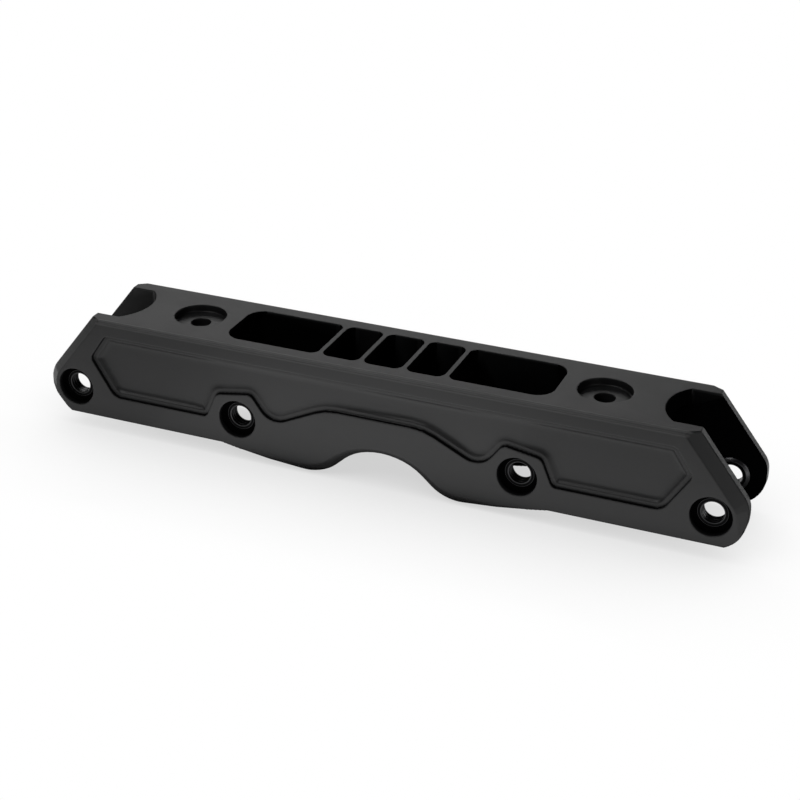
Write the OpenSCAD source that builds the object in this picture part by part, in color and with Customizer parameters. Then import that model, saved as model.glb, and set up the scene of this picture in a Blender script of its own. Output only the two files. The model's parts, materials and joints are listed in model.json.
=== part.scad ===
// Four-wheel inline skate frame: one moulded body with eight pressed-in axle bushes.
// Millimetres. Origin at the centre of the two mounting holes on the flat top face,
// +X along the frame, +Z up. The axle line lies below the top face.

/* [Overall] */
// Outside width over both side walls
frame_w = 41.6; // [40:0.1:46]
// Thickness of each side wall
wall_t = 6.8; // [6:0.1:7.5]
// Height from the axle line up to the top face
axle_drop = 31.1; // [30.8:0.1:33]
// Distance between the two outer axles
outer_span = 257.8; // [254:0.2:262]
// Distance between the two inner axles
inner_span = 114; // [112:0.2:116]
// Depth of the straight bottom edge below the axle line
skirt_drop = 11.3; // [10.6:0.1:12]
// Radius of the rounded wall ends about the outer axles
end_r = 12.7; // [12.2:0.1:13.2]
// Lean of the slanted wall ends from the vertical
end_lean = 38; // [36:0.5:40]
// Extra distance of the front end's slant from its axle
nose_out = 0.9; // [0.5:0.1:1.1]
// Radius that joins the front end's slant to its rounded end
nose_r = 9; // [8:0.2:10]
// Width of the chamfer along the top outer edges
top_edge_w = 1; // [0.6:0.1:1.8]
// Height of the chamfer along the top outer edges
top_edge_h = 1.2; // [0.6:0.1:1.8]

/* [End facets] */
// Radius of the flat round boss left around each outer axle
facet_r = 9.1; // [8.8:0.1:9.8]
// Depth the facet reaches where it meets the wall end
facet_depth = 3.1; // [2:0.1:3.6]
// Angle below the horizontal up to which the rear facet follows the boss
rear_facet_turn = 37; // [30:1:50]
// Angle above the horizontal down to which the front facet follows the boss
front_facet_rise = 12; // [6:1:18]

/* [Grind groove] */
// Offset of the groove centre along the frame
groove_x = 2.7; // [0:0.1:3]
// Depth of the groove's highest point below the axle line
groove_drop = 3.3; // [3:0.1:4.5]
// Radius of the groove arch
groove_r = 23.2; // [22:0.1:24]
// Slope of the groove flanks
flank_angle = 43.6; // [42:0.2:46]
// Depth of the sharp hump corner below the axle line, before it is rounded
hump_drop = 18.65; // [18:0.05:19.5]
// Radius that rounds the hump corner
hump_r = 15.9; // [14:0.1:17]
// Slope of the wall bottom up from the hump to the straight part
hump_slope = 10; // [9:0.2:12]
// Thickness of the plate over the groove
groove_plate_t = 4; // [3:0.5:6]
// Edge rounding at the top of the groove arch
arch_edge_r = 3.6; // [2:0.1:4]
// Edge rounding at the humps
hump_edge_r = 5.5; // [4:0.1:6]
// Edge rounding where the hump runs out
skirt_edge_r = 0.6; // [0.4:0.1:1]

/* [Side panels] */
// Height of the panel's upper border above the axle line
panel_top = 24.6; // [24:0.1:25.5]
// Half length of the upper border
panel_shoulder_x = 114.3; // [113:0.1:115]
// Half length of the panel at its widest points
panel_tip_x = 121.3; // [120.5:0.1:121.8]
// Height of the widest points above the axle line
panel_tip_z = 14.2; // [13.5:0.1:15]
// Half length of the lower border
panel_foot_x = 111.4; // [110.5:0.1:112]
// Depth of the lower border below the axle line
panel_bottom = 1.5; // [1:0.1:2]
// Start of the lower border beside the inner axle bore
panel_knee_x = 70.4; // [69.5:0.1:71]
// Outer end of the step over the inner axle bore
panel_notch_out_x = 65.9; // [65.4:0.1:66.4]
// Height of the outer end of that step above the axle line
panel_notch_out_z = 9.2; // [9:0.1:9.8]
// Inner end of the step over the inner axle bore
panel_notch_in_x = 51.1; // [50.6:0.1:51.6]
// Height of the inner end of that step above the axle line
panel_notch_in_z = 11.7; // [11:0.1:12.2]
// Position of the dip between the bore step and the middle
panel_dip_x = 42.8; // [42:0.1:43.6]
// Height of the dip corner above the axle line
panel_dip_z = 0.3; // [-0.5:0.1:1]
// Half length of the raised lower border in the middle
panel_crown_x = 19.9; // [19:0.1:21]
// Height of the lower border in the middle above the axle line
panel_crown_z = 11.35; // [11:0.05:12]
// Depth of the first step of the panel
lip_depth = 1.4; // [1:0.1:1.6]
// Width of the ledge behind the first step
lip_w = 1.8; // [1.2:0.1:2.2]
// Depth of the panel floor
panel_depth = 2.7; // [2.2:0.1:3]
// Distance over which the drop behind the ledge fairs into the floor
panel_fair = 3.6; // [3:0.1:4]

/* [Top plate] */
// Thickness of the plate that joins the walls
plate_t = 6.5; // [5.5:0.5:7]
// Clearance radius for the wheels about every axle
wheel_space_r = 30.5; // [29.5:0.1:30.7]
// Radius of the rounded notch at each end of the plate
end_notch_r = 19.5; // [18.5:0.1:20.5]
// Half length of the plate up to the end notches
plate_half_l = 105.4; // [104:0.1:106]
// Thickness of the web under each end of the plate
end_web_t = 2.2; // [1.8:0.1:3]
// Thickness of the web between neighbouring wheels
mid_web_t = 3; // [2:0.5:5]
// Depth of that web below the top face
mid_web_h = 20; // [16:1:24]
// Start of the wheel windows along the frame
window_in_x = 26.4; // [26:0.1:26.8]
// End of the wheel windows along the frame
window_out_x = 65.5; // [65:0.1:67]
// Corner radius at the outer ends of the wheel windows
window_out_r = 7; // [5:0.5:9]
// Corner radius of all other window corners
window_r = 3.5; // [2.5:0.5:4.5]
// Position of the inner ribs along the frame
rib_x = 8.6; // [8:0.1:9.2]
// Thickness of the ribs between the windows
rib_t = 2; // [1.6:0.1:2.6]

/* [Mounting holes] */
// Distance between the mounting holes
mount_span = 165; // [165:0.5:167]
// Diameter of the mounting holes
mount_hole_d = 7.7; // [6.5:0.1:8]
// Diameter of the round recess around each mounting hole
mount_recess_d = 20.4; // [18:0.2:21]
// Depth of that recess
mount_recess_depth = 3; // [2:0.1:3.5]
// Diameter of the boss under each mounting hole
mount_boss_d = 18; // [16:0.5:20]
// Height of the boss measured from the top face
mount_boss_h = 11; // [9:0.5:13]

/* [Axle bores and bushes] */
// Bore diameter of the bushes
bush_bore_d = 8.3; // [8.1:0.1:8.6]
// Outside diameter of the bush barrel and of its seat
bush_barrel_d = 11.4; // [11:0.1:12]
// Diameter of the bush flange
bush_flange_d = 13.74; // [13.2:0.02:14.4]
// Thickness of the bush flange
bush_flange_t = 1.9; // [1.5:0.1:2.2]
// Chamfer on the bush edges
bush_edge = 0.3; // [0.2:0.1:0.5]
// Diameter of the counterbore for the axle head
counterbore_d = 15.46; // [15:0.02:16]
// Depth of the counterbore
counterbore_depth = 3.5; // [3:0.1:4]

/* [Hidden] */
$fn = 96;
body_colour = [0.13, 0.13, 0.135];
bush_colour = [0.45, 0.45, 0.47];
// Extra length that carries every cut past the surface
over = 1;
// Overlap that fuses the inner structure into the walls
fuse = 1;
half_w = frame_w / 2;
inner_y = half_w - wall_t;
outer_x = outer_span / 2;
inner_x = inner_span / 2;
axle_z = -axle_drop;
skirt_z = axle_z - skirt_drop;
tip_x = outer_x + end_r * cos(end_lean);
tip_z = axle_z + end_r * sin(end_lean);
shoulder_x = tip_x + tip_z * tan(end_lean);
// Centre of the front end's joining arc, from the outer axle
nose_x = end_r - nose_r;
nose_z = (end_r + nose_out - nose_r - nose_x * cos(end_lean)) / sin(end_lean);
nose_tip_x = outer_x + nose_x + nose_r * cos(end_lean);
nose_tip_z = axle_z + nose_z + nose_r * sin(end_lean);
nose_shoulder_x = nose_tip_x + nose_tip_z * tan(end_lean);
facet_reach = 15.5;
facet_run = 45;
facet_step = 19;
groove_top_z = axle_z - groove_drop;
hump_z = axle_z - hump_drop;
arch_end_x = groove_r * sin(flank_angle);
arch_end_z = groove_top_z - groove_r + groove_r * cos(flank_angle);
hump_x = arch_end_x + (arch_end_z - hump_z) / tan(flank_angle);
skirt_start_x = hump_x + (skirt_z - hump_z) / tan(hump_slope);
hump_arm = hump_r * tan((flank_angle + hump_slope) / 2);
hump_round_x = hump_x + hump_arm * cos(hump_slope) - hump_r * sin(hump_slope);
hump_round_z = hump_z + hump_arm * sin(hump_slope) + hump_r * cos(hump_slope);
// Where along the frame the hump rounding is largest, and how far it takes to fade
edge_peak = 24;
edge_fade = 32;
panel_step = 15;
edge_step = 7.5;
edge_facets = 6;
// Flat strip on which the panel border overlaps the panel floor
panel_flat = 0.6;
// Chamfer in the corner between the first step and the ledge
lip_break = 0.3;
// Smallest corner radius of the panel where it is drawn in
panel_min_r = 0.4;
// How far past the hump's slope the edge rounding runs
edge_runout = 4;
// How far the rounding bites past its tangent lines, so that it meets both faces cleanly
edge_bite = 0.05;

// Turns a drawing made in the XZ plane into a slab between two Y positions
module slab(y_from, y_to) {
    translate([0, y_to, 0])
    rotate([90, 0, 0])
    linear_extrude(y_to - y_from) children();
}

module both_ends() {
    children();
    mirror([1, 0, 0]) children();
}

module both_sides() {
    children();
    mirror([0, 1, 0]) children();
}

// Corner-rounding helpers: unit vector, turning angle and the points of one arc
function unit(v) = v / norm(v);
function turn(a, b) = atan2(a[0] * b[1] - a[1] * b[0], a * b);
function arc_count(angle, step) = max(2, ceil(abs(angle) / step));
function arc_points(p, q, s, r, step) =
    let (a = unit(q - p), b = unit(s - q), angle = turn(a, b), side = angle > 0 ? 1 : -1,
         start = q - a * r * tan(abs(angle) / 2),
         centre = start + side * r * [-a[1], a[0]],
         n = arc_count(angle, step))
    [for (i = [0 : n])
        let (t = angle * i / n, v = start - centre)
        centre + [v[0] * cos(t) - v[1] * sin(t), v[0] * sin(t) + v[1] * cos(t)]];

// Moves the corner q of a closed outline inwards by d, square to both its sides
function inset_corner(p, q, s, d) =
    let (a = unit(q - p), b = unit(s - q), angle = turn(a, b))
    q + d * ([-a[1], a[0]] + [-b[1], b[0]]) / (1 + cos(angle));

// Round bar along Y, drawn about a point of the side view
module cross_bar(x, z, r, y_from, y_to) {
    translate([x, y_to, z])
    rotate([90, 0, 0]) cylinder(r = r, h = y_to - y_from);
}

// Wall shape between two Y positions: rounded ends, two humps and the groove between them
module wall_solid(y_from, y_to) {
    difference() {
        union() {
            slab(y_from, y_to)
            polygon([[-shoulder_x, 0], [nose_shoulder_x, 0], [nose_tip_x, nose_tip_z],
                     [outer_x + end_r, axle_z + nose_z], [outer_x + end_r, axle_z],
                     [outer_x, axle_z], [outer_x, skirt_z],
                     [groove_x + skirt_start_x, skirt_z],
                     [groove_x + hump_x + hump_arm * cos(hump_slope),
                      hump_z + hump_arm * sin(hump_slope)],
                     [groove_x + hump_x - hump_arm * cos(flank_angle),
                      hump_z + hump_arm * sin(flank_angle)],
                     [groove_x + arch_end_x, arch_end_z],
                     [groove_x - arch_end_x, arch_end_z],
                     [groove_x - hump_x + hump_arm * cos(flank_angle),
                      hump_z + hump_arm * sin(flank_angle)],
                     [groove_x - hump_x - hump_arm * cos(hump_slope),
                      hump_z + hump_arm * sin(hump_slope)],
                     [groove_x - skirt_start_x, skirt_z],
                     [-outer_x, skirt_z], [-outer_x, axle_z], [-tip_x, tip_z]]);
            for (side = [-1, 1]) {
                difference() {
                    cross_bar(side * outer_x, axle_z, end_r, y_from, y_to);
                    translate([side * outer_x - 2 * end_r, y_from - over, skirt_z - 2 * end_r])
                    cube([4 * end_r, y_to - y_from + 2 * over, 2 * end_r]);
                }
                cross_bar(groove_x + side * hump_round_x, hump_round_z, hump_r, y_from, y_to);
            }
            cross_bar(outer_x + nose_x, axle_z + nose_z, nose_r, y_from, y_to);
        }
        cross_bar(groove_x, groove_top_z - groove_r, groove_r, y_from - over, y_to + over);
    }
}

// Section of the end facet, radius against depth below the outer face.
// It falls by facet_depth from the boss to the wall end at end_reach.
module facet_section(end_reach) {
    rate = (end_reach - facet_r) / facet_depth;
    polygon([[facet_r - rate * over, -over], [facet_reach, -over],
             [facet_reach, (facet_reach - facet_r) / rate]]);
}

// Facet cut of the +X wall end: flat cuts that turn round the boss, from the slanted end
// to turn_end. Angles are counted downwards from the horizontal.
module facet_cut(end_reach, turn_end) {
    swing = end_lean + turn_end;
    n = ceil(swing / facet_step);
    translate([outer_x, -half_w, axle_z])
    rotate([-90, 0, 0])
    for (k = [0 : n])
        rotate([0, 0, swing * k / n - end_lean])
        translate([0, facet_run, 0])
        rotate([90, 0, 0])
        linear_extrude(2 * facet_run) facet_section(end_reach);
}

// Chamfer along the top outer edge
module top_edge_cut() {
    translate([-nose_tip_x, 0, 0])
    rotate([90, 0, 90])
    linear_extrude(2 * nose_tip_x)
    polygon([[-half_w - over, -top_edge_h - over * top_edge_h / top_edge_w],
             [-half_w + top_edge_w + over, over * top_edge_h / top_edge_w],
             [-half_w - over, over]]);
}

// Side panel corners for +X, from the middle outwards along the bottom and back on top
function panel_half() =
    [[panel_crown_x, panel_crown_z], [panel_dip_x, panel_dip_z],
     [panel_notch_in_x, panel_notch_in_z], [panel_notch_out_x, panel_notch_out_z],
     [panel_knee_x, -panel_bottom], [panel_foot_x, -panel_bottom],
     [panel_tip_x, panel_tip_z], [panel_shoulder_x, panel_top]];
panel_half_r = [20, 8, 3, 3, 3, 6, 2.5, 2.5];
panel_corners = concat(panel_half(),
    [for (i = [7 : -1 : 0]) [-panel_half()[i][0], panel_half()[i][1]]]);
panel_r = concat(panel_half_r, [for (i = [7 : -1 : 0]) panel_half_r[i]]);
panel_n = len(panel_corners);

// Rounded panel outline drawn in by d on all sides
function panel_ring(d) =
    let (c = [for (i = [0 : panel_n - 1])
             inset_corner(panel_corners[(i + panel_n - 1) % panel_n], panel_corners[i],
                          panel_corners[(i + 1) % panel_n], d)])
    [for (i = [0 : panel_n - 1])
        let (p = c[(i + panel_n - 1) % panel_n], q = c[i], s = c[(i + 1) % panel_n],
             side = turn(q - p, s - q) > 0 ? 1 : -1)
        each arc_points(p, q, s, max(panel_r[i] - side * d, panel_min_r), panel_step)];

// Section of the panel border as pairs of inset and depth: first step, ledge, then a steep
// drop that fairs into the floor. The last pairs close the section above the wall face.
function fair_depth(t) = lip_depth + (panel_depth - lip_depth) * (1 - pow(1 - t, 4));
panel_end = lip_w + panel_fair;
panel_levels = concat(
    [[0, -over], [0, lip_depth - lip_break], [lip_break, lip_depth], [lip_w, lip_depth]],
    [for (t = [0.06, 0.15, 0.3, 0.55, 1]) [lip_w + panel_fair * t, fair_depth(t)]],
    [[panel_end + panel_flat, panel_depth], [panel_end + panel_flat, -over]]);

// Border band of the panel, a closed sweep of that section round the outline
module panel_border_cut() {
    rings = [for (level = panel_levels)
                [for (p = panel_ring(level[0])) [p[0], level[1] - half_w, p[1] + axle_z]]];
    n = len(rings[0]);
    m = len(rings);
    polyhedron(
        points = [for (ring = rings) each ring],
        faces = [for (k = [0 : m - 1]) for (i = [0 : n - 1])
            let (a = k * n, b = (k + 1) % m * n, j = (i + 1) % n)
            each [[a + i, a + j, b + i], [a + j, b + j, b + i]]]);
}

// Shallow stepped recess of one side wall
module panel_cut() {
    panel_border_cut();
    slab(-half_w - over, -half_w + panel_depth)
    translate([0, axle_z])
    polygon(panel_ring(panel_end + panel_flat / 2));
}

// Bottom edge from the left run-out over both humps and the groove to the right one
function slope_z(x) = min(skirt_z, hump_z + (x - hump_x) * tan(hump_slope));
edge_right = concat(
    [[arch_end_x, arch_end_z]],
    arc_points([arch_end_x, arch_end_z], [hump_x, hump_z], [skirt_start_x, skirt_z],
               hump_r, edge_step),
    [for (t = [0.35, 0.65, 1])
        let (x = (hump_x + hump_arm) * (1 - t) + (skirt_start_x + edge_runout) * t)
        [x, slope_z(x)]]);
arch_n = arc_count(2 * flank_angle, edge_step);
edge_arch = [for (i = [1 : arch_n - 1])
    let (a = flank_angle * (2 * i / arch_n - 1))
    [groove_r * sin(a), groove_top_z - groove_r + groove_r * cos(a)]];
edge_line = concat(
    [for (i = [len(edge_right) - 1 : -1 : 0]) [-edge_right[i][0], edge_right[i][1]]],
    edge_arch, edge_right);
edge_last = len(edge_line) - 1;

// Size of the edge rounding at a distance d from the groove centre
function blend(t) = (1 + cos(180 * min(t, 1))) / 2;
function edge_radius(d) =
    d < edge_peak
    ? arch_edge_r + (hump_edge_r - arch_edge_r) * blend((edge_peak - d) / edge_peak)
    : skirt_edge_r + (hump_edge_r - skirt_edge_r) * blend((d - edge_peak) / edge_fade);
function edge_normal(i) =
    let (t = unit(edge_line[min(i + 1, edge_last)] - edge_line[max(i - 1, 0)])) [-t[1], t[0]];
function edge_section(i) =
    let (p = edge_line[i], n = edge_normal(i), r = edge_radius(abs(p[0])),
         b = r + edge_bite + r / 100, out = i == 0 || i == edge_last ? over : 0,
         q = concat([for (k = [0 : edge_facets])
                        let (a = 90 * k / edge_facets) [r - b * cos(a), r - b * sin(a)]],
                    [[r, -over], [-over, -over], [-over, r]]))
    [for (s = q)
        [groove_x + p[0] + n[0] * (s[0] - out), s[1] - out - half_w, p[1] + n[1] * (s[0] - out)]];

// Rounds the outer bottom edge of one side wall, most at the humps
module bottom_edge_cut() {
    n = edge_facets + 4;
    polyhedron(
        points = [for (i = [0 : edge_last]) each edge_section(i)],
        faces = concat(
            [[for (k = [0 : n - 1]) k]],
            [[for (k = [n - 1 : -1 : 0]) edge_last * n + k]],
            [for (i = [0 : edge_last - 1]) for (k = [0 : n - 1])
                each [[i * n + k, (i + 1) * n + k, i * n + (k + 1) % n],
                      [i * n + (k + 1) % n, (i + 1) * n + k, (i + 1) * n + (k + 1) % n]]]));
}

// Both side walls with their end facets, panels and edges
module side_walls() {
    both_sides()
    difference() {
        wall_solid(-half_w, -inner_y);
        facet_cut(end_r + nose_out, -front_facet_rise);
        mirror([1, 0, 0]) facet_cut(end_r, rear_facet_turn);
        top_edge_cut();
        panel_cut();
        bottom_edge_cut();
    }
}

// Opening from z up to above the top face, with its own corner radius at each end
module window(x_from, x_to, r_from, r_to, z) {
    h = over - z;
    translate([0, 0, z])
    union() {
        for (end = [[x_from, 1, r_from], [x_to, -1, r_to]], side = [-1, 1])
            translate([end[0] + end[1] * end[2], side * (inner_y - end[2]), 0])
            cylinder(r = end[2], h = h);
        translate([x_from, r_from - inner_y, 0])
        cube([(x_to - x_from) / 2, 2 * (inner_y - r_from), h]);
        translate([(x_from + x_to) / 2, r_to - inner_y, 0])
        cube([(x_to - x_from) / 2, 2 * (inner_y - r_to), h]);
        translate([x_from + r_from, -inner_y, 0])
        cube([x_to - r_to - x_from - r_from, 2 * inner_y, h]);
    }
}

// Block over the groove, hollowed from above into three pockets between the ribs
module groove_block() {
    difference() {
        intersection() {
            wall_solid(-inner_y - fuse, inner_y + fuse);
            translate([-window_in_x, -half_w, 2 * skirt_z])
            cube([2 * window_in_x, frame_w, -2 * skirt_z]);
        }
        difference() {
            union() {
                window(-rib_x + rib_t / 2, rib_x - rib_t / 2, window_r, window_r, 2 * skirt_z);
                both_ends()
                window(rib_x + rib_t / 2, window_in_x - rib_t, window_r, window_r, 2 * skirt_z);
            }
            cross_bar(groove_x, groove_top_z - groove_r, groove_r + groove_plate_t,
                      -half_w, half_w);
        }
    }
}

// Plate that joins the walls beside one end, with its windows, webs and boss
module end_plate() {
    difference() {
        union() {
            translate([window_in_x, -inner_y - fuse, -plate_t])
            cube([plate_half_l + end_notch_r - window_in_x - wall_t,
                  2 * (inner_y + fuse), plate_t]);
            translate([plate_half_l - end_web_t, -inner_y - fuse, -mid_web_h])
            cube([end_web_t, 2 * (inner_y + fuse), mid_web_h]);
            translate([(outer_x + inner_x - mid_web_t) / 2, -inner_y - fuse, -mid_web_h])
            cube([mid_web_t, 2 * (inner_y + fuse), mid_web_h]);
            translate([mount_span / 2, 0, -mount_boss_h])
            cylinder(d = mount_boss_d, h = mount_boss_h);
        }
        window(window_in_x, window_out_x, window_r, window_out_r, -plate_t - over);
        intersection() {
            translate([plate_half_l + end_notch_r, 0, -2 * mid_web_h])
            cylinder(r = end_notch_r, h = 3 * mid_web_h);
            translate([plate_half_l - over, -inner_y, -2 * mid_web_h])
            cube([2 * end_notch_r, 2 * inner_y, 3 * mid_web_h]);
        }
        for (x = [inner_x, outer_x])
            translate([x, inner_y, axle_z])
            rotate([90, 0, 0]) cylinder(r = wheel_space_r, h = 2 * inner_y);
        translate([mount_span / 2, 0, -mount_recess_depth])
        cylinder(d = mount_recess_d, h = mount_recess_depth + over);
        translate([mount_span / 2, 0, -mount_boss_h - over])
        cylinder(d = mount_hole_d, h = mount_boss_h + 2 * over);
    }
}

// Bush seat and counterbore of one axle position in one wall
module bush_seat_cut() {
    translate([0, -inner_y + over, axle_z])
    rotate([90, 0, 0]) cylinder(d = bush_barrel_d, h = wall_t + 2 * over);
    translate([0, -half_w + counterbore_depth, axle_z])
    rotate([90, 0, 0]) cylinder(d = counterbore_d, h = counterbore_depth + over);
}

module frame_body() {
    color(body_colour)
    difference() {
        union() {
            side_walls();
            groove_block();
            both_ends() end_plate();
        }
        both_sides()
        for (x = [-outer_x, -inner_x, inner_x, outer_x])
            translate([x, 0, 0]) bush_seat_cut();
    }
}

// Flanged bush of the right-hand wall, its flange against the inner wall face
module bush(x) {
    barrel_l = wall_t - counterbore_depth;
    color(bush_colour)
    translate([x, -inner_y - barrel_l, axle_z])
    rotate([-90, 0, 0])
    rotate_extrude()
    polygon([[bush_bore_d / 2, bush_edge], [bush_bore_d / 2 + bush_edge, 0],
             [bush_barrel_d / 2, 0], [bush_barrel_d / 2, barrel_l],
             [bush_flange_d / 2, barrel_l],
             [bush_flange_d / 2, barrel_l + bush_flange_t - bush_edge],
             [bush_flange_d / 2 - bush_edge, barrel_l + bush_flange_t],
             [bush_bore_d / 2 + bush_edge, barrel_l + bush_flange_t],
             [bush_bore_d / 2, barrel_l + bush_flange_t - bush_edge]]);
}

module left_bush(x) {
    mirror([0, 1, 0]) bush(x);
}

frame_body();
bush(-outer_x);  // axle_1_bush_right
left_bush(-outer_x);  // axle_1_bush_left
bush(-inner_x);  // axle_2_bush_right
left_bush(-inner_x);  // axle_2_bush_left
bush(inner_x);  // axle_3_bush_right
left_bush(inner_x);  // axle_3_bush_left
bush(outer_x);  // axle_4_bush_right
left_bush(outer_x);  // axle_4_bush_left
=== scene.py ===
import json
import math

import bmesh
import bpy
import numpy as np
from mathutils import Matrix, Vector

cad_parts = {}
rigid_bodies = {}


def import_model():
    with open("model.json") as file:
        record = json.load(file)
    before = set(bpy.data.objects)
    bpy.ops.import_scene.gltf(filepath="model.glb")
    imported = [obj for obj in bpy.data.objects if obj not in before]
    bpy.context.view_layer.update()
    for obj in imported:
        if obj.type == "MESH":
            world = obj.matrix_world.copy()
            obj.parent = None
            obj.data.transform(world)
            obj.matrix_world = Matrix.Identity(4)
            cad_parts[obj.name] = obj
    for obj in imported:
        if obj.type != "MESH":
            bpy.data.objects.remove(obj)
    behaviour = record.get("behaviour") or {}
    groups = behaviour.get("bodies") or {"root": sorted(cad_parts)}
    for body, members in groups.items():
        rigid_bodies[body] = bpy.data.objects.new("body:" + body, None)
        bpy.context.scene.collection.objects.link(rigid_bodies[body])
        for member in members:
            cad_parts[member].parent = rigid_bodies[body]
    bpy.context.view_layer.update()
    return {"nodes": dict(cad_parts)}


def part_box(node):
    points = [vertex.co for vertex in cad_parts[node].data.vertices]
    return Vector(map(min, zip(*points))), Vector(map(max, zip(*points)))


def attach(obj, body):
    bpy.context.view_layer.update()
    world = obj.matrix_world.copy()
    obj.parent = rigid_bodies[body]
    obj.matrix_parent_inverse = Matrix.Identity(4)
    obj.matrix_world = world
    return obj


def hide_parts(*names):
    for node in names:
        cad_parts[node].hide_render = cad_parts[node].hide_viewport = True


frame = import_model()
print("frame loaded:", len(frame["nodes"]), "nodes")

bodyLow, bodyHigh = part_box("frame_body")
bushNames = sorted(name for name in frame["nodes"] if "bush" in name)
noiseMiddle = 0.5


class Wire:
    # One output of a shader node. Arithmetic on wires adds Math nodes.
    def __init__(self, tree, socket=None):
        self.tree = tree
        self.socket = socket

    def node(self, kind, settings=None, inputs=None, output=0):
        made = self.tree.nodes.new(kind)
        for name, value in (settings or {}).items():
            if name == "stops":
                fillRamp(made.color_ramp, value)
            else:
                setattr(made, name, value)
        for key, value in (inputs or {}).items():
            if isinstance(value, Wire):
                self.tree.links.new(value.socket, made.inputs[key])
            else:
                made.inputs[key].default_value = value
        return Wire(self.tree, made.outputs[output] if made.outputs else None)

    def maths(self, operation, first, second):
        return self.node("ShaderNodeMath", {"operation": operation}, {0: first, 1: second})

    def __add__(self, other):
        return self.maths("ADD", self, other)

    def __radd__(self, other):
        return self.maths("ADD", other, self)

    def __sub__(self, other):
        return self.maths("SUBTRACT", self, other)

    def __rsub__(self, other):
        return self.maths("SUBTRACT", other, self)

    def __mul__(self, other):
        return self.maths("MULTIPLY", self, other)

    def __rmul__(self, other):
        return self.maths("MULTIPLY", other, self)

    def __truediv__(self, other):
        return self.maths("DIVIDE", self, other)

    def __rtruediv__(self, other):
        return self.maths("DIVIDE", other, self)

    def __pow__(self, other):
        return self.maths("POWER", self, other)

    def __rpow__(self, other):
        return self.maths("POWER", other, self)

    def __abs__(self):
        return self.node("ShaderNodeMath", {"operation": "ABSOLUTE"}, {0: self})

    def ramp(self, *stops):
        return self.node("ShaderNodeValToRGB", {"stops": stops}, {0: self})

    def blend(self, first, second):
        # This wire picks between two colours.
        return self.node("ShaderNodeMix", {"data_type": "RGBA"}, {0: self, 6: first, 7: second}, 2)


def fillRamp(ramp, stops):
    while len(ramp.elements) > 1:
        ramp.elements.remove(ramp.elements[-1])
    ramp.elements[0].position = stops[0][0]
    ramp.elements[0].color = grey(stops[0][1])
    for place, level in stops[1:]:
        ramp.elements.new(place).color = grey(level)


def grey(level):
    return (level, level, level, 1)


def newMaterial(name):
    material = bpy.data.materials.new(name)
    material.use_nodes = True
    material.node_tree.nodes.clear()
    return material, Wire(material.node_tree)


# Matte black moulded plastic: fine grain, slow clouds in the sheen, fine scuffs, edges that
# handling has polished lighter, painted highlights on the chamfer's bends and painted shade in
# hollows. A ramp is a row of (value, level) stops.
plasticFinish = {
    "colour": (0.0115, 0.0115, 0.012, 1),
    "cloudColour": (0.0145, 0.0145, 0.015, 1),
    "cloudSize": 0.018,
    "cloudRamp": ((0.35, 0.0), (0.65, 1.0)),
    "cloudSwing": 0.10,
    "roughness": 0.46,
    "specular": 0.5,
    "grainSize": 0.00030,
    "grainHeight": 0.000010,
    "grainSwing": 0.10,
    "scuffSize": 0.004,
    "scuffStretch": 0.12,
    "scuffRamp": ((0.60, 0.0), (0.72, 1.0)),
    "scuffHeight": 0.000006,
    "scuffSwing": 0.05,
    "wornColour": (0.017, 0.017, 0.0175, 1),
    "wornShare": 0.55,
    "wornPatches": 0.9,
    "wornCloud": 0.35,
    "edgePolish": 0.04,
    "paintedBendHighlights": (
        {"inset": 0.0, "drop": 0.0012, "reach": 0.0009, "level": 0.07},
        {"inset": 0.001, "drop": 0.0, "reach": 0.0009, "level": 0.10}),
    "bendHighlightRamp": ((0.25, 1.0), (1.0, 0.0)),
    "paintedShadeColour": (0.0011, 0.0011, 0.0012, 1),
    "paintedShadeRoughness": 0.85,
    "paintedShadeSpecular": 0.03,
    "shadeCornerReach": 0.006,
    "shadeCornerRamp": ((0.36, 1.0), (0.66, 0.0)),
}


def paintBendHighlights(place, colour):
    # Painted highlight: the two bends of the chamfer along the outer top edges are painted much
    # lighter than the plastic, in place of light that falls there.
    finish = plasticFinish
    across = place.node("ShaderNodeSeparateXYZ", {}, {0: place}, 1)
    height = place.node("ShaderNodeSeparateXYZ", {}, {0: place}, 2)
    inset = bodyHigh.y - abs(across)
    drop = bodyHigh.z - height
    for bend in finish["paintedBendHighlights"]:
        away = ((inset - bend["inset"]) ** 2 + (drop - bend["drop"]) ** 2) ** 0.5 / bend["reach"]
        colour = away.ramp(*finish["bendHighlightRamp"]).blend(colour, grey(bend["level"]))
    return colour


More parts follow.
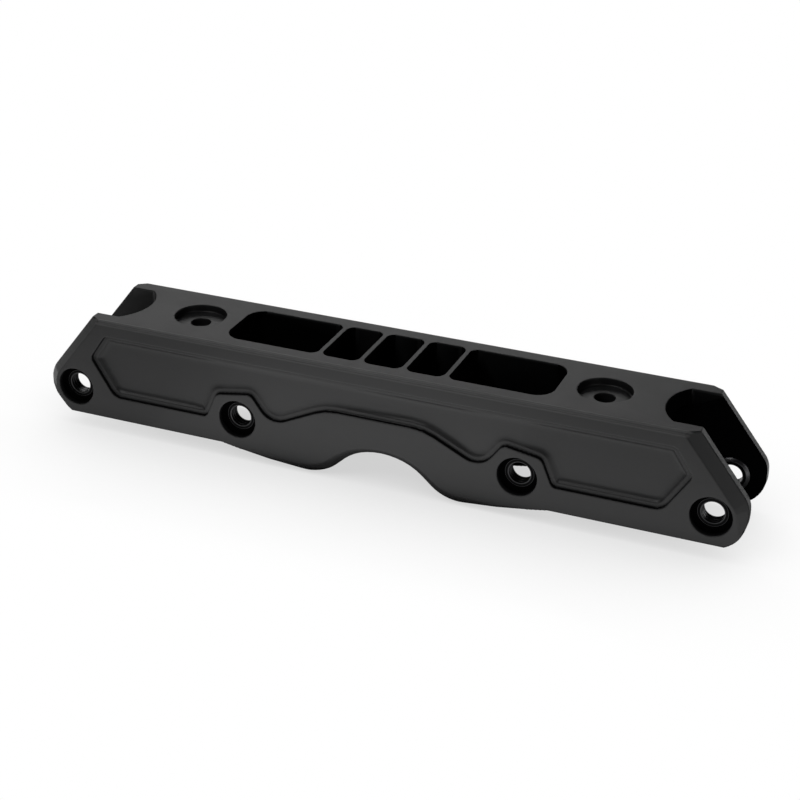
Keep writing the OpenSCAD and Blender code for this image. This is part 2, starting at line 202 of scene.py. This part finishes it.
def makePlastic():
    finish = plasticFinish
    material, start = newMaterial("mouldedPlastic")
    place = start.node("ShaderNodeTexCoord", output=3)
    grain = start.node("ShaderNodeTexNoise", {}, {
        "Vector": place, "Scale": 1 / finish["grainSize"], "Detail": 2.0, "Roughness": 0.6})
    cloud = start.node("ShaderNodeTexNoise", {}, {
        "Vector": place, "Scale": 1 / finish["cloudSize"], "Detail": 4.0, "Roughness": 0.55})
    # Scuffs run mostly along the frame, so the noise is stretched that way.
    along = start.node("ShaderNodeVectorMath", {"operation": "MULTIPLY"}, {
        0: place, 1: (finish["scuffStretch"], 1.0, 1.0)})
    scuff = start.node("ShaderNodeTexNoise", {}, {
        "Vector": along, "Scale": 1 / finish["scuffSize"], "Detail": 6.0, "Roughness": 0.7})
    scuff = scuff.ramp(*finish["scuffRamp"])
    edge = start.node("ShaderNodeAttribute", {"attribute_name": "edgeWear"}, output=2)
    worn = edge * (finish["wornShare"] + finish["wornPatches"] * (cloud - finish["wornCloud"]))
    colour = cloud.ramp(*finish["cloudRamp"]).blend(finish["colour"], finish["cloudColour"])
    colour = worn.blend(colour, finish["wornColour"])
    # Painted highlight along the two bends of the top chamfer
    colour = paintBendHighlights(place, colour)
    roughness = finish["roughness"] + finish["cloudSwing"] * (cloud - noiseMiddle)
    roughness = roughness + finish["grainSwing"] * (grain - noiseMiddle)
    roughness = roughness + finish["scuffSwing"] * scuff - finish["edgePolish"] * worn
    bump = start.node("ShaderNodeBump", {}, {
        "Height": grain, "Distance": finish["grainHeight"], "Strength": 1.0})
    bump = start.node("ShaderNodeBump", {}, {
        "Height": scuff, "Distance": finish["scuffHeight"], "Strength": 1.0, "Normal": bump})
    shader = start.node("ShaderNodeBsdfPrincipled", {}, {
        "Base Color": colour, "Roughness": roughness, "Normal": bump,
        "Specular IOR Level": finish["specular"]})
    # Painted shade: tight corners (found by occlusion), the counterbores and the space between the
    # walls get a darker, duller copy of the plastic.
    shadedCopy = start.node("ShaderNodeBsdfPrincipled", {}, {
        "Base Color": finish["paintedShadeColour"], "Roughness": finish["paintedShadeRoughness"],
        "Normal": bump, "Specular IOR Level": finish["paintedShadeSpecular"]})
    corner = start.node("ShaderNodeAmbientOcclusion", {"samples": 6}, {
        "Distance": finish["shadeCornerReach"]}, 1).ramp(*finish["shadeCornerRamp"])
    hollow = start.node("ShaderNodeAttribute", {"attribute_name": "hollow"}, output=2)
    paintedShade = start.maths("MAXIMUM", corner, hollow)
    shader = start.node("ShaderNodeMixShader", {}, {0: paintedShade, 1: shader, 2: shadedCopy})
    start.node("ShaderNodeOutputMaterial", {}, {"Surface": shader})
    return material


# Blackened turned metal of the axle bushes, brighter where its edges are worn
bushFinish = {
    "colour": (0.002, 0.002, 0.0021, 1),
    "brightColour": (0.130, 0.130, 0.134, 1),
    "edgeShine": 0.9,
    "smearShine": 0.03,
    "roughness": 0.38,
    "edgePolish": 0.08,
    "smearSize": 0.0012,
    "smearSwing": 0.18,
    "smearHeight": 0.6,
    "ringPitch": 0.00025,
    "ringHeight": 0.000004,
}


def makeBushMetal():
    finish = bushFinish
    material, start = newMaterial("turnedMetal")
    place = start.node("ShaderNodeTexCoord", output=3)
    smear = start.node("ShaderNodeTexNoise", {}, {
        "Vector": place, "Scale": 1 / finish["smearSize"], "Detail": 4.0, "Roughness": 0.6})
    radius = start.node("ShaderNodeAttribute", {"attribute_name": "turnRadius"}, output=2)
    rings = start.node("ShaderNodeMath", {"operation": "SINE"}, {
        0: radius * (2 * math.pi / finish["ringPitch"])})
    edge = start.node("ShaderNodeAttribute", {"attribute_name": "edgeWear"}, output=2)
    shine = edge * finish["edgeShine"] + finish["smearShine"] * smear
    colour = shine.blend(finish["colour"], finish["brightColour"])
    roughness = finish["roughness"] + finish["smearSwing"] * (smear - noiseMiddle)
    roughness = roughness - finish["edgePolish"] * edge
    bump = start.node("ShaderNodeBump", {}, {
        "Height": rings + finish["smearHeight"] * smear, "Distance": finish["ringHeight"],
        "Strength": 1.0})
    shader = start.node("ShaderNodeBsdfPrincipled", {}, {
        "Base Color": colour, "Metallic": 1.0, "Roughness": roughness, "Normal": bump})
    start.node("ShaderNodeOutputMaterial", {}, {"Surface": shader})
    return material


plastic = makePlastic()
bushMetal = makeBushMetal()
print("materials made")


def linkNew(name, mesh, material):
    thing = bpy.data.objects.new(name, mesh)
    bpy.context.scene.collection.objects.link(thing)
    mesh.materials.clear()
    mesh.materials.append(material)
    return thing


def applyModifiers(thing):
    view = bpy.context.evaluated_depsgraph_get()
    view.update()
    baked = bpy.data.meshes.new_from_object(thing.evaluated_get(view))
    thing.modifiers.clear()
    thing.data = baked


def setSmooth(mesh):
    mesh.polygons.foreach_set("use_smooth", [True] * len(mesh.polygons))


def readVectors(items, name, count):
    values = np.empty(len(items) * count, dtype=np.float64)
    items.foreach_get(name, values)
    return values.reshape(-1, count)


def storeFloat(mesh, name, values):
    layer = mesh.attributes.new(name, "FLOAT", "POINT")
    layer.data.foreach_set("value", np.ascontiguousarray(values, dtype=np.float32))


# The moulded body, cast again from the CAD solid with the small edge rounding of a mould
bodySkin = {
    "weld": 0.00001,
    "voxel": 0.0003,
    "smoothing": 3,
    "smoothingShare": 0.5,
    "facesKept": 0.13,
    "wearGain": 2.4,
    "wearSpread": 2,
}

# Where the body gets painted shade (a darker, duller copy of the plastic), and how deep in it
# begins and is full
shadeZones = {
    "depths": (0.0004, 0.0016),
    "counterbore": 0.0081,
    "boltHoles": (-0.0825, 0.0825),
    "boltRecess": 0.0118,
    "channelHalf": 0.0143,
    "rearNotchEnd": -0.1,
    "rearNotchShare": 0.4,
    "webHalf": 0.0138,
    "webFacing": 0.85,
    "webFade": 0.35,
}

# The panel on each side, in depths below the side's face. Its second drop is kept in full
# at the ends, and in part along the middle: amounts holds (x, share) pairs.
panel = {
    "step": (0.0001, 0.00142),
    "floor": 0.0029,
    "lowest": -0.036,
    "counterboreGap": 0.0005,
    "archCentre": (0.0027, -0.0576),
    "archRadius": 0.0272,
    "amounts": ((-0.077, 1), (-0.062, 0.25), (-0.018, 0.25), (0.012, 0.75), (0.032, 0.75),
                (0.046, 0.3), (0.058, 0.3), (0.074, 1)),
}

# Painted shade: a thin dark line along the panel's outer step, where it faces up or towards +X
stepShadeLine = {
    "sideways": 0.8,
    "fromTop": 0.004,
    "ends": 0.114,
    "endSlant": 0.78,
    "turnedAway": 0.5,
    "strength": 0.85,
}


def convexity(mesh, spread):
    # How far each vertex stands out of its neighbours, in edge lengths
    spots = readVectors(mesh.vertices, "co", 3)
    facing = readVectors(mesh.vertices, "normal", 3)
    ends = np.empty(len(mesh.edges) * 2, dtype=np.int64)
    mesh.edges.foreach_get("vertices", ends)
    first, second = ends.reshape(-1, 2).T
    span = spots[first] - spots[second]
    length = np.linalg.norm(span, axis=1) + 1e-9
    rise = np.zeros(len(spots))
    links = np.zeros(len(spots))
    for here, there, sign in ((first, second, 1), (second, first, -1)):
        np.add.at(rise, here, sign * (span * facing[here]).sum(axis=1) / length)
        np.add.at(links, here, 1)
    rise /= np.maximum(links, 1)
    for step in range(spread):
        total = np.zeros(len(spots))
        np.add.at(total, first, rise[second])
        np.add.at(total, second, rise[first])
        rise = 0.5 * rise + 0.5 * total / np.maximum(links, 1)
    return rise


def axleDistance(x, z):
    # From each vertex to the nearest axle's centre line
    nearest = np.full(len(x), np.inf)
    for name in bushNames:
        low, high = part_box(name)
        away = np.hypot(x - (low.x + high.x) / 2, z - (low.z + high.z) / 2)
        nearest = np.minimum(nearest, away)
    return nearest


def onPanel(x, z):
    # Above the walls' lower parts and outside the round arch between the inner axles
    centreX, centreZ = panel["archCentre"]
    return (z > panel["lowest"]) & (np.hypot(x - centreX, z - centreZ) > panel["archRadius"])


def easePanel(mesh):
    # Along the middle the panel's second drop is shallower, so its line nearly fades out.
    spots = readVectors(mesh.vertices, "co", 3)
    x, y, z = spots.T
    depth = bodyHigh.y - np.abs(y)
    lip = panel["step"][1]
    moved = (depth > lip) & (depth < panel["floor"]) & onPanel(x, z)
    moved &= axleDistance(x, z) > shadeZones["counterbore"] + panel["counterboreGap"]
    places, amounts = zip(*panel["amounts"])
    depth = np.where(moved, lip + (depth - lip) * np.interp(x, places, amounts), depth)
    spots[:, 1] = np.sign(y) * (bodyHigh.y - depth)
    mesh.vertices.foreach_set("co", np.ascontiguousarray(spots, dtype=np.float32).ravel())
    mesh.update()


def paintedShadeMask(mesh):
    # Painted shade, 1 well inside a counterbore or the channel between the walls, 0 on the open
    # faces, with a painted dark line along the panel's outer step
    x, y, z = readVectors(mesh.vertices, "co", 3).T
    forward, sideways, upward = readVectors(mesh.vertices, "normal", 3).T
    counterbore = axleDistance(x, z) < shadeZones["counterbore"]
    channel = np.abs(y) < shadeZones["channelHalf"]
    for centre in shadeZones["boltHoles"]:
        channel &= np.hypot(x - centre, y) > shadeZones["boltRecess"]
    depth = bodyHigh.y - np.abs(y)
    drop = bodyHigh.z - z
    start, full = shadeZones["depths"]
    sunk = np.maximum(np.where(counterbore, depth, 0), np.where(channel, drop, 0))
    deep = np.clip((sunk - start) / (full - start), 0, 1)
    webs = channel & (np.abs(y) < shadeZones["webHalf"])
    upright = (shadeZones["webFacing"] - upward) / shadeZones["webFade"]
    deep = np.where(webs, np.clip(upright, deep, 1), deep)
    deep[channel & (x < shadeZones["rearNotchEnd"])] *= shadeZones["rearNotchShare"]
    # Painted dark line along the step, strongest where it faces up or towards +X
    shallow, lip = panel["step"]
    step = (depth > shallow) & (depth < lip) & (np.abs(sideways) < stepShadeLine["sideways"])
    step &= (drop > stepShadeLine["fromTop"]) & onPanel(x, z) & ~counterbore
    step &= np.abs(x) + stepShadeLine["endSlant"] * z < stepShadeLine["ends"]
    stepShade = np.clip(upward + forward + stepShadeLine["turnedAway"], 0, 1) * stepShadeLine["strength"]
    return np.maximum(deep, step * stepShade)


def makeBody():
    source = frame["nodes"]["frame_body"]
    mesh = source.data.copy()
    mesh.name = "bodySkin"
    shape = bmesh.new()
    shape.from_mesh(mesh)
    bmesh.ops.remove_doubles(shape, verts=shape.verts, dist=bodySkin["weld"])
    shape.to_mesh(mesh)
    shape.free()
    body = linkNew("moulded_body", mesh, plastic)
    cast = body.modifiers.new("cast", "REMESH")
    cast.mode = "VOXEL"
    cast.voxel_size = bodySkin["voxel"]
    cast.use_smooth_shade = True
    ease = body.modifiers.new("ease", "SMOOTH")
    ease.factor = bodySkin["smoothingShare"]
    ease.iterations = bodySkin["smoothing"]
    applyModifiers(body)
    easePanel(body.data)
    wear = np.clip(convexity(body.data, bodySkin["wearSpread"]) * bodySkin["wearGain"], 0, 1)
    storeFloat(body.data, "edgeWear", wear)
    # Mask of the painted shade in hollows, on the webs and along the panel's step
    storeFloat(body.data, "hollow", paintedShadeMask(body.data))
    thin = body.modifiers.new("thin", "DECIMATE")
    thin.ratio = bodySkin["facesKept"]
    applyModifiers(body)
    setSmooth(body.data)
    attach(body, "root")
    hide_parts("frame_body")
    print("body:", len(body.data.polygons), "faces")


makeBody()

# Turned bushes: the CAD bush with its edges broken and fine grooves inside the bore. The
# corners hold (in or out, along, wear) rows, the first two in widths of the broken edge.
bushShape = {
    "bore": 0.00415,
    "barrel": 0.0057,
    "flange": 0.00687,
    "flangeDepth": 0.0019,
    "edge": 0.0003,
    "boreStart": ((0, 1, 0.4), (0.3, 0.3, 0.5), (1, 0, 0.5), (1.7, 0, 0)),
    "barrelEnd": ((1, 0, 0), (0.3, 0, 0.4), (0, 0.3, 0.25), (0, 1, 0)),
    "flangeBack": ((0.3, 0, 0.3), (0, 0.3, 0.6)),
    "flangeCone": ((0, 2, 0.8), (0.5, 1.6, 1), (3.5, 0.2, 1), (4, 0, 1), (5, 0, 0)),
    "boreEnd": ((2, 0, 0.1), (1, 0, 1), (0.3, 0.3, 1), (0, 1, 0.7)),
    "grooves": (0.0012, 0.0026, 0.0040),
    "grooveWidth": 0.0005,
    "grooveFloor": 0.4,
    "grooveDepth": 0.00028,
    "grooveWear": 0.5,
    "turns": 96,
    "crispAngle": 40,
}


def bushSection(length):
    # Radius, distance from the barrel's outer end and wear, once round the section
    bore, barrel, flange = bushShape["bore"], bushShape["barrel"], bushShape["flange"]
    back = length - bushShape["flangeDepth"]

    def corner(name, radius, depth, outward, onward):
        edge = bushShape["edge"]
        return [(radius + outward * edge * aside, depth + onward * edge * along, wear)
                for aside, along, wear in bushShape[name]]

    points = corner("boreStart", bore, 0, 1, 1)
    points += corner("barrelEnd", barrel, 0, -1, 1)
    points.append((barrel, back, 0))
    points += corner("flangeBack", flange, back, -1, 1)
    points += corner("flangeCone", flange, length, -1, -1)
    points += corner("boreEnd", bore, length, 1, -1)
    half = bushShape["grooveWidth"] / 2
    floor = half * bushShape["grooveFloor"]
    deep = bore + bushShape["grooveDepth"]
    worn = bushShape["grooveWear"]
    for middle in reversed(bushShape["grooves"]):
        points += [(bore, middle + half, worn), (deep, middle + floor, 0),
                   (deep, middle - floor, 0), (bore, middle - half, worn)]
    return points


def makeBush(name):
    low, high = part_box(name)
    side = -1 if (low.y + high.y) < 0 else 1
    outer = low.y if side < 0 else high.y
    centre = Vector(((low.x + high.x) / 2, outer, (low.z + high.z) / 2))
    section = bushSection(high.y - low.y)
    turns = bushShape["turns"]
    spots, radii, wear, faces = [], [], [], []
    for k in range(turns):
        angle = 2 * math.pi * k / turns
        for radius, depth, edge in section:
            spots.append(centre + Vector((radius * math.cos(angle), -side * depth,
                                          radius * math.sin(angle))))
            radii.append(radius)
            wear.append(edge)
    count = len(section)
    for k in range(turns):
        here, there = k * count, (k + 1) % turns * count
        for i in range(count):
            j = (i + 1) % count
            loop = [here + i, here + j, there + j, there + i]
            faces.append(loop if side < 0 else loop[::-1])
    mesh = bpy.data.meshes.new(name)
    mesh.from_pydata(spots, [], faces)
    mesh.validate()
    storeFloat(mesh, "turnRadius", radii)
    storeFloat(mesh, "edgeWear", wear)
    setSmooth(mesh)
    bush = linkNew("turned_" + name, mesh, bushMetal)
    crisp = bush.modifiers.new("crisp", "EDGE_SPLIT")
    crisp.split_angle = math.radians(bushShape["crispAngle"])
    applyModifiers(bush)
    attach(bush, "root")
    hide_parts(name)


for name in bushNames:
    makeBush(name)
print("bushes:", len(bushNames))

# Camera solved from the photograph
cameraPlace = {
    "position": (0.21939, -0.54668, 0.27586),
    "right": (0.92672, 0.37548, 0.01439),
    "forward": (-0.32942, 0.83026, -0.44960),
    "lens": 77.41,
    "sensor": 36.0,
    "nearest": 0.01,
}


def makeCamera():
    data = bpy.data.cameras.new("camera")
    data.lens = cameraPlace["lens"]
    data.sensor_width = cameraPlace["sensor"]
    data.clip_start = cameraPlace["nearest"]
    camera = bpy.data.objects.new("camera", data)
    right = Vector(cameraPlace["right"]).normalized()
    back = -Vector(cameraPlace["forward"]).normalized()
    up = back.cross(right).normalized()
    turn = Matrix((right, up, back)).transposed().to_4x4()
    camera.matrix_world = Matrix.Translation(cameraPlace["position"]) @ turn
    bpy.context.scene.collection.objects.link(camera)
    bpy.context.scene.camera = camera


makeCamera()

# Pale floor and white surroundings for the camera
studio = {
    "floorSize": 6.0,
    "floorColour": 0.6,
    "shadowReach": 0.07,
    "shadowRamp": ((0.25, 0.62), (0.97, 1.0)),
    "worldLevel": 0.01,
}


def makeFloor():
    mesh = bpy.data.meshes.new("floor")
    half = studio["floorSize"] / 2
    level = bodyLow.z
    mesh.from_pydata([(-half, -half, level), (half, -half, level),
                      (half, half, level), (-half, half, level)], [], [(0, 1, 2, 3)])
    material, start = newMaterial("paleFloor")
    diffuse = start.node("ShaderNodeBsdfDiffuse", {}, {"Color": grey(studio["floorColour"])})
    glow = start.node("ShaderNodeEmission", {}, {"Color": grey(1), "Strength": 1.0})
    # The camera sees open floor as white; near the frame an occlusion ramp dims that white, a
    # painted soft shadow, and the lamp-lit floor with its real shadow shows through.
    seen = start.node("ShaderNodeLightPath", output=0)
    clear = start.node("ShaderNodeAmbientOcclusion", {"samples": 16}, {
        "Distance": studio["shadowReach"]}, 1).ramp(*studio["shadowRamp"])
    shader = start.node("ShaderNodeMixShader", {}, {0: seen * clear, 1: diffuse, 2: glow})
    start.node("ShaderNodeOutputMaterial", {}, {"Surface": shader})
    linkNew("floor", mesh, material)


def makeWorld():
    world = bpy.data.worlds.new("studioWorld")
    world.use_nodes = True
    world.node_tree.nodes.clear()
    start = Wire(world.node_tree)
    light = start.node("ShaderNodeBackground", {}, {
        "Color": grey(1), "Strength": studio["worldLevel"]})
    white = start.node("ShaderNodeBackground", {}, {"Color": grey(1), "Strength": 1.0})
    seen = start.node("ShaderNodeLightPath", output=0)
    shader = start.node("ShaderNodeMixShader", {}, {0: seen, 1: light, 2: white})
    start.node("ShaderNodeOutputWorld", {}, {"Surface": shader})
    bpy.context.scene.world = world


makeFloor()
makeWorld()

# Bright cards lie just over the floor and face up. They make the sheen of the sides, as a
# white table does, without reaching the hollows, and the camera doesn't see them.
cards = {
    "frontCard": {"place": (0.19, -0.0785), "lift": 0.0014, "size": (0.58, 0.104), "power": 0.170},
    "middleCard": {"place": (-0.02, -0.085), "lift": 0.0015, "size": (0.14, 0.08), "power": 0.013},
    "leftCard": {"place": (-0.275, -0.0785), "lift": 0.0014, "size": (0.35, 0.104), "power": 0.076},
    "backCard": {"place": (0.0, 0.09), "lift": 0.0014, "size": (0.9, 0.10), "power": 0.26},
    "leftEndCard": {"place": (-0.40, 0.12), "lift": 0.0014, "size": (0.46, 0.30), "power": 0.48},
}

# Soft lamps aim at the middle of the frame. Those overhead and behind light the top and its
# chamfers, and the one on the right lights the slants of the front end.
lamps = {
    "overheadLamp": {"place": (-0.43, -0.77, 0.95), "size": (0.5, 0.35), "power": 3.2},
    "zenithLamp": {"place": (-0.36, 0.25, 1.1), "size": (0.4, 0.3), "power": 0.8},
    "backSoftbox": {"place": (-0.55, 1.15, 0.65), "size": (1.2, 0.5), "power": 3.0},
    "backRightLamp": {"place": (0.75, 1.25, 0.12), "size": (0.6, 0.2), "power": 1.25},
    "rightLamp": {"place": (1.15, -0.75, 0.32), "size": (0.4, 0.3), "power": 1.1},
}
lampAim = Vector((0, 0, -0.02))


def makeLight(name, how, place):
    data = bpy.data.lights.new(name, "AREA")
    data.shape = "RECTANGLE"
    data.size, data.size_y = how["size"]
    data.energy = how["power"]
    light = bpy.data.objects.new(name, data)
    light.location = place
    bpy.context.scene.collection.objects.link(light)
    return light


for name, how in cards.items():
    card = makeLight(name, how, (*how["place"], bodyLow.z + how["lift"]))
    card.rotation_euler = (math.pi, 0, 0)
    card.visible_camera = False
for name, how in lamps.items():
    lamp = makeLight(name, how, how["place"])
    lamp.rotation_euler = (lampAim - lamp.location).to_track_quat("-Z", "Y").to_euler()
bpy.context.scene.view_settings.view_transform = "Standard"
print("camera and light set")
